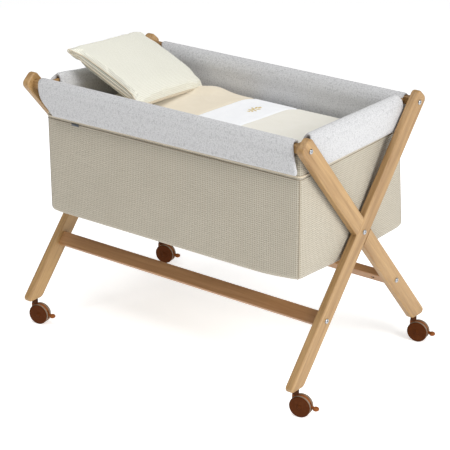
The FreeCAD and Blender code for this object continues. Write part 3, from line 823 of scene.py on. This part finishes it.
def make_basket():
    """Sewn shell of the basket with its floor, and its seams."""
    rings = basket_rings()
    count = len(rings[0])
    vertices = [point for ring in rings for point in ring]
    faces = []
    for level in range(len(rings) - 1):
        base = level * count
        for step in range(count):
            following = (step + 1) % count
            faces.append((base + step, base + following, base + count + following, base + count + step))
    faces.append(tuple((len(rings) - 1) * count + step for step in range(count)))
    basket = mesh_object("basket_shell", vertices, faces, MATERIALS["waffle_fabric"])
    modify(basket, "SOLIDIFY", thickness=CLOTH_THICKNESS)
    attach(basket, STAND)
    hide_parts("basket_panel_front", "basket_panel_rear", "basket_panel_left",
                "basket_panel_right", "basket_floor")
    make_basket_seams()


def seam_cord(name, points, radius, closed=False, material="seam"):
    """Piping or a taped seam on the basket."""
    cord = tube(name, points, radius, MATERIALS[material], closed)
    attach(cord, STAND)


PIPING_RADIUS = 2.3 * MM
SECOND_ROW_RADIUS = 1.1 * MM
SECOND_ROW_DROP = 8 * MM
SEAM_RADIUS = 1.3 * MM
SEAM_STEPS = 20
BASE_SEAM_RISE = 1.5 * MM
BASE_SEAM_INSET = 0.72


def make_basket_seams():
    """Corner seams, the seam round the base and the double piping under the flaps."""
    piping = []
    for point in basket_loop(PIPING_HEIGHT):
        away = Vector((point.x - (BASKET_LOW.x + BASKET_HIGH.x) / 2, point.y, 0)).normalized()
        share = (point.x - BASKET_LOW.x) / (BASKET_HIGH.x - BASKET_LOW.x)
        piping.append(point + away * MM + Vector((0, 0, PIPING_RISE * share)))
    second_row = [point - Vector((0, 0, SECOND_ROW_DROP)) for point in piping]
    seam_cord("piping_under_flap", piping, PIPING_RADIUS, closed=True, material="piping")
    seam_cord("piping_second_row", second_row, SECOND_ROW_RADIUS, closed=True)
    loops = [basket_loop(PIPING_HEIGHT + (WALL_LOW - PIPING_HEIGHT) * step / SEAM_STEPS)
             for step in range(SEAM_STEPS + 1)]
    loops += [edge_loop(step) for step in range(1, EDGE_RINGS)]
    for index, name in enumerate(("front_left", "front_right", "rear_right", "rear_left")):
        corner = index * (CORNER_POINTS + WALL_POINTS - 1) + CORNER_POINTS // 2
        seam_cord(f"corner_seam_{name}", [loop[corner] for loop in loops], SEAM_RADIUS)
    base = basket_loop(BASKET_LOW.z + BASE_SEAM_RISE, BASE_RADIUS * BASE_SEAM_INSET)
    seam_cord("base_seam", base, SEAM_RADIUS, closed=True)


TAB_PLACE = Vector((-0.286, 0, 0.575))
TAB_WIDTH = 24 * MM
TAB_HEIGHT = 6.5 * MM
TAB_GAP = 1.5 * MM
TAB_BULGE = 1.6 * MM
TAB_THICKNESS = 0.5 * MM
TAB_STEPS = 8


def make_tab():
    """Small blank woven tab sewn under the front flap."""
    front = BASKET_LOW.y - TAB_GAP
    vertices, faces = [], []
    for step in range(TAB_STEPS + 1):
        angle = math.pi * step / TAB_STEPS
        y = front - TAB_BULGE * math.sin(angle)
        z = TAB_PLACE.z + TAB_HEIGHT / 2 * math.cos(angle)
        for side in (-1, 1):
            vertices.append((TAB_PLACE.x + side * TAB_WIDTH / 2, y, z))
    for step in range(TAB_STEPS):
        faces.append((2 * step, 2 * step + 1, 2 * step + 3, 2 * step + 2))
    tab = mesh_object("blank_tab", vertices, faces, MATERIALS["tab"])
    modify(tab, "SOLIDIFY", thickness=TAB_THICKNESS)
    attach(tab, STAND)


# -------- bedding

EDGE_CROWDING = 0.35
CUSHION_PRESSURE = 4.0


def crowded(share):
    """A share from -1 to 1, moved so that even steps crowd towards both ends."""
    return math.sin(share * math.pi / 2) * EDGE_CROWDING + share * (1 - EDGE_CROWDING)


def cushion_grid(half_x, half_y, corner, columns, rows):
    """Points of a rectangle with rounded corners, as x, y and their shares u, v of its half sides."""
    grid = []
    for column in range(columns + 1):
        for row in range(rows + 1):
            u = crowded(2 * column / columns - 1)
            v = crowded(2 * row / rows - 1)
            x, y = u * half_x, v * half_y
            over_x = max(0.0, abs(x) - (half_x - corner))
            over_y = max(0.0, abs(y) - (half_y - corner))
            if over_x > 0 and over_y > 0:
                scale = max(over_x, over_y) / math.hypot(over_x, over_y)
                x = math.copysign(half_x - corner + over_x * scale, x)
                y = math.copysign(half_y - corner + over_y * scale, y)
            grid.append((x, y, u, v))
    return grid


def closed_cushion(name, half_x, half_y, corner, columns, rows, top, bottom):
    """Closed cover: an upper and a lower sheet, joined by a band around the border."""
    grid = cushion_grid(half_x, half_y, corner, columns, rows)
    upper = [Vector((x, y, top(u, v))) for x, y, u, v in grid]
    lower = [Vector((x, y, bottom(u, v))) for x, y, u, v in grid]
    return mesh_object(name, upper + lower, pad_faces(columns, rows))


def crown(u, v, power=2.6):
    """1 in the middle of a cushion, falling to 0 at its border."""
    return max(0.0, (1 - abs(u) ** power) * (1 - abs(v) ** power)) ** 0.6


OUTLINE_ARC_STEPS = 8
OUTLINE_GAP = 9 * MM


def rounded_outline(half_x, half_y, radius):
    """Points round a rectangle with rounded corners, no further apart than about OUTLINE_GAP."""
    points = []
    for side_x, side_y, start in ((1, 1, 0), (-1, 1, 90), (-1, -1, 180), (1, -1, 270)):
        x, y = side_x * (half_x - radius), side_y * (half_y - radius)
        for step in range(OUTLINE_ARC_STEPS + 1):
            points.append(arc_point(x, y, radius, start + 90 * step / OUTLINE_ARC_STEPS, 0))
    filled = []
    for first, second in zip(points, points[1:] + points[:1]):
        pieces = max(1, int((second - first).length / OUTLINE_GAP))
        filled += [first.lerp(second, step / pieces) for step in range(pieces)]
    return [(point.x, point.y) for point in filled]


PILLOW_CENTRE = (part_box("pillow")[0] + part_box("pillow")[1]) / 2
PILLOW_ANGLES = Euler((math.radians(-5.5), math.radians(25.5), math.radians(4)), "XYZ")
PILLOW_HALF_LENGTH = 133 * MM
PILLOW_HALF_WIDTH = 161 * MM
PILLOW_MARGIN = 2 * MM
PILLOW_CORNER = 9 * MM
PILLOW_BAND = 13 * MM
PILLOW_BAND_SPREAD = 5 * MM
PILLOW_CROWN = 11 * MM
PILLOW_BELLY = 5 * MM
PILLOW_FLAT = -17 * MM
PILLOW_VOXEL = 4.5 * MM
PILLOW_SLACK = 0.03
PILLOW_CAP = 8 * MM
PILLOW_PULL_X = 4 * MM
PILLOW_PULL_Y = 5 * MM
PILLOW_TIP = 11 * MM
PILLOW_BLUNT = 7 * MM
PILLOW_DROOP = 12 * MM
PILLOW_SAG = 11 * MM
SAG_START = 0.45
PIPING_GAP = 0.3 * MM
# Each piping's name, its place from the band's lower edge at -1 to its upper edge at 1, and its radius.
PILLOW_PIPING = [("upper", 1, 1.5 * MM), ("lower", -1, 1.5 * MM), ("middle", 0, 0.9 * MM)]


def band_half(u, v):
    """Half the height of the pillow's side band: narrow at its corners, wide along its front side."""
    even = PILLOW_BAND / 2 * (1 - 0.6 * min(abs(u), abs(v)) ** 2.5)
    return even + PILLOW_BAND_SPREAD * max(0.0, -v) ** 4 * max(0.0, 1 - abs(u) ** 4)


def pillow_drop(u, v):
    """How far the pillow's lower end, and most of all its rear corner, sinks on to the duvet."""
    end = min(1.0, max(0.0, (u - SAG_START) / (1 - SAG_START)))
    return PILLOW_SAG * end ** 2 + PILLOW_DROOP * max(0.0, u) ** 4 * max(0.0, v) ** 4


def shape_pillow(pillow):
    """Flattens the pillow's underside, pulls its sides in between the corners and lets it sag."""
    for vertex in pillow.data.vertices:
        x, y, z = vertex.co
        u, v = x / PILLOW_HALF_LENGTH, y / PILLOW_HALF_WIDTH
        if z < PILLOW_FLAT:
            z = PILLOW_FLAT + (z - PILLOW_FLAT) * 0.2
        tip = PILLOW_TIP * (max(0.0, -u) * max(0.0, -v)) ** 6
        blunt = PILLOW_BLUNT * (max(0.0, -u) * max(0.0, v)) ** 6
        pull_x = math.copysign(PILLOW_PULL_X, x) * abs(u) ** 3 * (1 - abs(v) ** 2.5)
        pull_y = math.copysign(PILLOW_PULL_Y, y) * abs(v) ** 3 * (1 - abs(u) ** 2.5)
        vertex.co = (x - pull_x - tip + blunt, y - pull_y - tip - blunt, z - pillow_drop(u, v))


def make_pillow():
    """Flat crowned pillow with a narrow boxed edge, leaning on the left rim."""
    pillow = closed_cushion("pillow_cover", PILLOW_HALF_LENGTH - PILLOW_MARGIN,
                            PILLOW_HALF_WIDTH - PILLOW_MARGIN, PILLOW_CORNER, 40, 48,
                            lambda u, v: band_half(u, v) + PILLOW_CROWN * crown(u, v),
                            lambda u, v: -band_half(u, v) - PILLOW_BELLY * crown(u, v))
    modify(pillow, "REMESH", mode="VOXEL", voxel_size=PILLOW_VOXEL)
    inflate(pillow, CUSHION_PRESSURE, PILLOW_SLACK, PILLOW_CAP)
    modify(pillow, "SUBSURF", levels=1, render_levels=1)
    shape_pillow(pillow)
    place = Matrix.Translation(PILLOW_CENTRE) @ PILLOW_ANGLES.to_matrix().to_4x4()
    tree = surface_tree(pillow)
    for name, level, radius in PILLOW_PIPING:
        points = []
        for x, y in rounded_outline(PILLOW_HALF_LENGTH, PILLOW_HALF_WIDTH, PILLOW_CORNER):
            u, v = x / PILLOW_HALF_LENGTH, y / PILLOW_HALF_WIDTH
            seam = Vector((x, y, level * band_half(u, v) - pillow_drop(u, v)))
            found = tree.find_nearest(seam)[0]
            points.append(place @ (found + Vector((x, y, 0)).normalized() * PIPING_GAP))
        cord = tube(f"pillow_piping_{name}", points, radius, MATERIALS["piping"], closed=True)
        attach(cord, STAND)
    pillow.data.transform(place)
    pillow.data.materials.append(MATERIALS["pillow_fabric"])
    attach(pillow, STAND)
    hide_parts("pillow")


DUVET_LOW, DUVET_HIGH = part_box("duvet")
DUVET_HALF_X = (DUVET_HIGH.x - DUVET_LOW.x) / 2
DUVET_HALF_Y = (DUVET_HIGH.y - DUVET_LOW.y) / 2
DUVET_THICK = DUVET_HIGH.z - DUVET_LOW.z
DUVET_MARGIN = 5 * MM
DUVET_CORNER = 30 * MM
DUVET_ROUNDING = 16 * MM
DUVET_VOXEL = 6 * MM
DUVET_SLACK = 0.02
DUVET_CAP = 9 * MM
DUVET_TOP_DEPTH = 26 * MM
DUVET_EDGE = 587 * MM
DUVET_EDGE_DROP = 14 * MM
DUVET_SWELL = 6 * MM
DUVET_WAVE = (120 * MM, 2 * MM)
DUVET_BUNCH = 12 * MM
BUNCH_PLACE = (-160 * MM, 170 * MM)
BUNCH_REACH = 45 * MM
PUFF_LIMIT = 9 * MM
PUFF_SHARE = 0.35
BAND_SEAM_DEPTH = 1.6 * MM
BAND_SEAM_REACH = 3.5 * MM


def duvet_top(x, y, z):
    """Height of the duvet's upper side over its underside, where the simulation left it at z."""
    rise = crown(min(1.0, abs(x) / DUVET_HALF_X), min(1.0, abs(y) / DUVET_HALF_Y), 8)
    height = DUVET_EDGE - DUVET_LOW.z + DUVET_SWELL * rise
    height += PUFF_SHARE * min(max(z - DUVET_THICK, -PUFF_LIMIT), PUFF_LIMIT)
    height -= DUVET_EDGE_DROP * (1 - min(1.0, rise * 1.6)) ** 2
    for place in (BAND_LEFT, BAND_RIGHT):
        offset = x + BAND_SKEW * y - place
        height -= BAND_SEAM_DEPTH * math.exp(-(offset / BAND_SEAM_REACH) ** 2)
    away = math.hypot(x - BUNCH_PLACE[0], y - BUNCH_PLACE[1])
    height += DUVET_BUNCH * math.exp(-(away / BUNCH_REACH) ** 2)
    return height + ripple((x, y, 0), *DUVET_WAVE) * rise


def make_duvet():
    """Duvet tucked in between the bumpers, with a sewn-in white band and a small gold sprig."""
    duvet = closed_cushion("duvet_cover", DUVET_HALF_X - DUVET_MARGIN, DUVET_HALF_Y - DUVET_MARGIN,
                           DUVET_CORNER, 90, 50,
                           lambda u, v: DUVET_THICK - DUVET_ROUNDING * (1 - crown(u, v, 8)),
                           lambda u, v: 6 * MM)
    modify(duvet, "REMESH", mode="VOXEL", voxel_size=DUVET_VOXEL)
    inflate(duvet, CUSHION_PRESSURE, DUVET_SLACK, DUVET_CAP)
    modify(duvet, "SUBSURF", levels=1, render_levels=1)
    for vertex in duvet.data.vertices:
        x, y, z = vertex.co
        if z > DUVET_THICK - DUVET_TOP_DEPTH:
            z = duvet_top(x, y, z)
        vertex.co = (max(-DUVET_HALF_X, min(DUVET_HALF_X, x)),
                     max(-DUVET_HALF_Y, min(DUVET_HALF_Y, y)), max(z, 1 * MM))
    duvet.data.transform(Matrix.Translation((DUVET_LOW.x + DUVET_HALF_X, 0, DUVET_LOW.z)))
    duvet.data.materials.append(MATERIALS["duvet_fabric"])
    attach(duvet, STAND)
    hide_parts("duvet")
    make_sprig(surface_tree(duvet))


SPRIG_PLACE = Vector((35 * MM, 92 * MM, 0))
# Each leaf's place along and across the band, its angle in degrees and its length, in millimetres.
LEAVES = [(-18, 3, 150, 13), (-14, -5, 205, 12), (-7, 8, 110, 13), (-6, -8, 250, 12), (1, 3, 20, 14),
          (6, 10, 60, 13), (7, -8, -50, 13), (15, 5, 25, 13), (19, -4, -15, 13)]
LEAF_POINTS = 14
LEAF_SLIMNESS = 0.24
LEAF_HEIGHT = 1.3 * MM
LEAF_EDGE_HEIGHT = 0.2 * MM
STALK = [(-24, -1), (-10, 1), (2, 0), (13, 1), (26, -1)]
STALK_RADIUS = 0.8 * MM
STALK_HEIGHT = 0.3 * MM


def on_band(tree, along, across, height):
    """Point over the duvet at a place on the sprig, whose length runs along the band."""
    above = SPRIG_PLACE + Vector((-across * MM, along * MM, 1.0))
    return tree.ray_cast(above, Vector((0, 0, -1)))[0] + Vector((0, 0, height))


def make_sprig(tree):
    """Small embroidered sprig of plain leaves on the white band."""
    vertices, faces = [], []
    for along, across, turn, length in LEAVES:
        base = len(vertices)
        angle = math.radians(turn)
        vertices.append(on_band(tree, along, across, LEAF_HEIGHT))
        for step in range(LEAF_POINTS):
            t = 2 * math.pi * step / LEAF_POINTS
            far, wide = length / 2 * math.cos(t), length * LEAF_SLIMNESS * math.sin(t)
            vertices.append(on_band(tree, along + far * math.cos(angle) - wide * math.sin(angle),
                                    across + far * math.sin(angle) + wide * math.cos(angle),
                                    LEAF_EDGE_HEIGHT))
        rim = range(LEAF_POINTS)
        faces += [(base, base + 1 + step, base + 1 + (step + 1) % LEAF_POINTS) for step in rim]
    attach(mesh_object("gold_sprig", vertices, faces, MATERIALS["gold_thread"]), STAND)
    stalk = [on_band(tree, along, across, STALK_HEIGHT) for along, across in STALK]
    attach(tube("gold_stalk", stalk, STALK_RADIUS, MATERIALS["gold_thread"]), STAND)


MATTRESS_CORNER = 25 * MM
MATTRESS_CROWN = 4 * MM
MATTRESS_TOP_GAP = 5 * MM
MATTRESS_ROUNDING = 6 * MM
MATTRESS_PIPING_INSET = 7 * MM
MATTRESS_PIPING_RADIUS = 2 * MM


def make_mattress():
    """Boxed foam mattress with piped edges."""
    low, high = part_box("mattress")
    half_x, half_y = (high.x - low.x) / 2, (high.y - low.y) / 2
    thick = high.z - low.z
    place = Matrix.Translation(((low.x + high.x) / 2, 0, low.z))
    mattress = closed_cushion("mattress_cover", half_x, half_y, MATTRESS_CORNER, 60, 40,
                              lambda u, v: thick - MATTRESS_TOP_GAP + MATTRESS_CROWN * crown(u, v, 6),
                              lambda u, v: 1 * MM)
    modify(mattress, "BEVEL", width=MATTRESS_ROUNDING, segments=3, angle_limit=math.radians(60))
    mattress.data.transform(place)
    mattress.data.materials.append(MATERIALS["mattress_fabric"])
    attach(mattress, STAND)
    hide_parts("mattress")
    outline = rounded_outline(half_x, half_y, MATTRESS_CORNER)
    for name, height in (("upper", thick - MATTRESS_PIPING_INSET), ("lower", MATTRESS_PIPING_INSET)):
        points = [place @ Vector((x, y, height)) for x, y in outline]
        cord = tube(f"mattress_piping_{name}", points, MATTRESS_PIPING_RADIUS, MATERIALS["piping"], True)
        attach(cord, STAND)


# -------- stand and casters

def paint(node, material):
    """Gives a CAD node its finish."""
    for slot in nodes[node].material_slots:
        slot.material = material


LEG_LEAN = math.radians(40.45)


def finish_stand():
    """Wood with its grain along each leg and rail, darker on the lower rails as painted shade, metal
    fittings and plastic sockets.
    """
    leaning = {"front": wood_material("beech_front_top", lean=LEG_LEAN),
               "rear": wood_material("beech_rear_top", lean=-LEG_LEAN)}
    along = wood_material("beech_rail", along="X")
    # The lower rails get a darker copy of the beech: painted shade under the basket.
    painted_shade_rail = wood_material("beech_lower_rail", along="X", light=LOWER_RAIL_PAINTED_SHADE_PALE, dark=LOWER_RAIL_PAINTED_SHADE_DEEP)
    across = wood_material("beech_bar", lean=math.pi / 2)
    for side in ("front", "rear"):
        for end in ("left", "right"):
            paint(f"leg_{side}_top_{end}", leaning[side])
        paint(f"top_rail_{side}", along)
        paint(f"lower_rail_{side}", painted_shade_rail)
    paint("rail_dowels", along)
    paint("end_bars", across)
    for node in ("rail_bolts", "barrel_nuts", "crossing_bolts", "crossing_nuts", "caster_stems"):
        paint(node, MATERIALS["zinc_steel"])
    paint("stem_sockets", MATERIALS["socket_plastic"])
    paint("base_board", MATERIALS["plywood"])


COVER_REACH = 12.7 * MM
HUB_OUTLINE = [(0.0, 1.6), (3.0, 1.5), (5.2, 1.1), (6.0, 0.3), (6.6, -0.2), (7.4, 0.3), (8.2, 0.6),
               (9.0, 0.3), (9.4, -0.6), (0.0, -0.6)]


def finish_casters():
    """Plastic, rubber and steel on the casters, and a hub cap on every wheel cover."""
    for joint in frame["joints"]:
        name = joint["name"]
        if not name.startswith("spin_"):
            continue
        hand, side, end = name.split("_")[1:]
        corner = f"{side}_{end}"
        way = 1 if hand == "left" else -1
        axis = Vector(joint["axis"]) * way
        centre = Vector(joint["pos_m"]) + axis * COVER_REACH
        outline = [(radius * MM, height * MM) for radius, height in HUB_OUTLINE]
        cap = lathe(f"hub_cap_{hand}_{corner}", outline, centre, axis, MATERIALS["wheel_plastic"])
        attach(cap, f"wheel_{hand}_{corner}")
        paint(f"wheel_{hand}_{corner}", MATERIALS["wheel_plastic"])
        paint(f"tread_{hand}_{corner}", MATERIALS["tread_rubber"])
        paint(f"caster_hood_{corner}", MATERIALS["hood_plastic"])
        paint(f"caster_axle_{corner}", MATERIALS["zinc_steel"])
        paint(f"brake_lever_{corner}", MATERIALS["hood_plastic"])


# -------- assembly

MATERIALS = {
    # Each waffle's second colour is its pit colour, darkened as painted shade.
    "waffle_fabric": waffle_material("waffle_fabric", (194, 187, 171), (149, 140, 122)),
    "pillow_fabric": waffle_material("pillow_fabric", (240, 239, 228), (212, 210, 192), 4 * MM,
                                     PILLOW_ANGLES),
    "muslin_fabric": muslin_material(),
    "duvet_fabric": duvet_material(),
    "mattress_fabric": plain_fabric("mattress_fabric", (236, 236, 232), (220, 220, 216)),
    "piping": plain_fabric("piping_fabric", (212, 200, 178), (188, 174, 150), 2200),
    "seam": plain_fabric("seam_tape", (160, 149, 130), (134, 122, 104), 2200),
    "tab": plain_fabric("tab_fabric", (92, 98, 106), (70, 75, 82), 2200),
    "gold_thread": gold_thread_material(),
    "zinc_steel": zinc_material(),
    "plywood": plywood_material(),
    "socket_plastic": plastic_material("socket_plastic", (58, 40, 30), (80, 58, 44)),
    "hood_plastic": plastic_material("hood_plastic", (136, 80, 40), (150, 92, 50),
                                     (55.2 * MM, (74, 42, 24))),
    "wheel_plastic": plastic_material("wheel_plastic", (82, 40, 12), (96, 52, 20)),
    "tread_rubber": tread_material(),
}

make_camera()
make_studio()
finish_stand()
finish_casters()
make_basket()
make_tab()
make_rims()
make_mattress()
make_duvet()
make_pillow()
